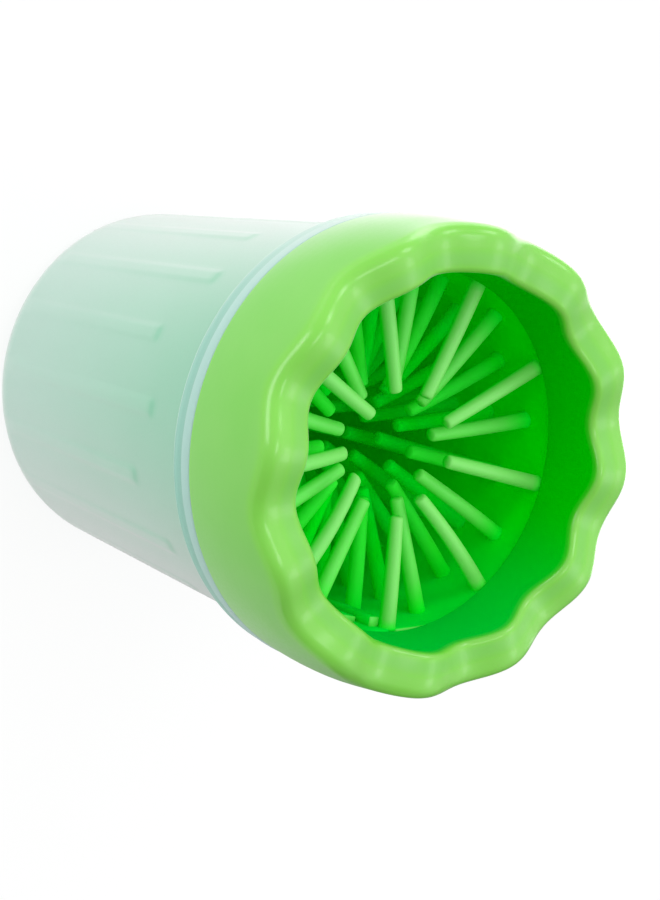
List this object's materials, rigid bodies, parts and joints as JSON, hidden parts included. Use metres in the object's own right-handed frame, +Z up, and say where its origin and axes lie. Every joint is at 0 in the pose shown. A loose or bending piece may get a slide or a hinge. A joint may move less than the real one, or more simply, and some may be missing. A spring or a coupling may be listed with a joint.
{
  "type": "paw washer cup",
  "caption": "Tapered frosted cup with a screw-on, wavy-rimmed mouth collar and a removable sleeve of soft inward bristles that scrub a pet's paw.",
  "frame": {"origin": "centre of the cup's resting face", "axes": "+Z up along the cup's axis and out of its mouth; +X is a radial direction, 8.5 degrees clockwise (seen from above) of the ridge along the sleeve's seam"},
  "size_m": [0.093, 0.093, 0.1173],
  "materials": {
    "frosted_cup": "frosted translucent polypropylene",
    "green_collar": "soft semi-gloss moulded plastic",
    "clear_seal": "smooth silicone",
    "green_silicone": "satin silicone"
  },
  "bodies": {
    "cup": {"cup_body": "frosted_cup"},
    "seal": {"seal_ring": "clear_seal"},
    "collar": {"collar": "green_collar"},
    "sleeve": {"bristle_sleeve": "green_silicone"}
  },
  "joints": [
    {"name": "sleeve_lift", "type": "slide", "parent": "cup", "child": "sleeve", "axis": [0, 0, 1], "range_m": [0, 0.1]},
    {"name": "collar_lift", "type": "slide", "parent": "sleeve", "child": "seal", "axis": [0, 0, 1], "range_m": [0, 0.008]},
    {"name": "collar_turn", "type": "hinge", "parent": "seal", "child": "collar", "pos_m": [0, 0, 0.1], "axis": [0, 0, 1], "range_deg": [0, 720]}
  ],
  "couplings": [
    {"joint": "collar_lift", "follows": "collar_turn", "m_per_rad": 0.00063662}
  ]
}
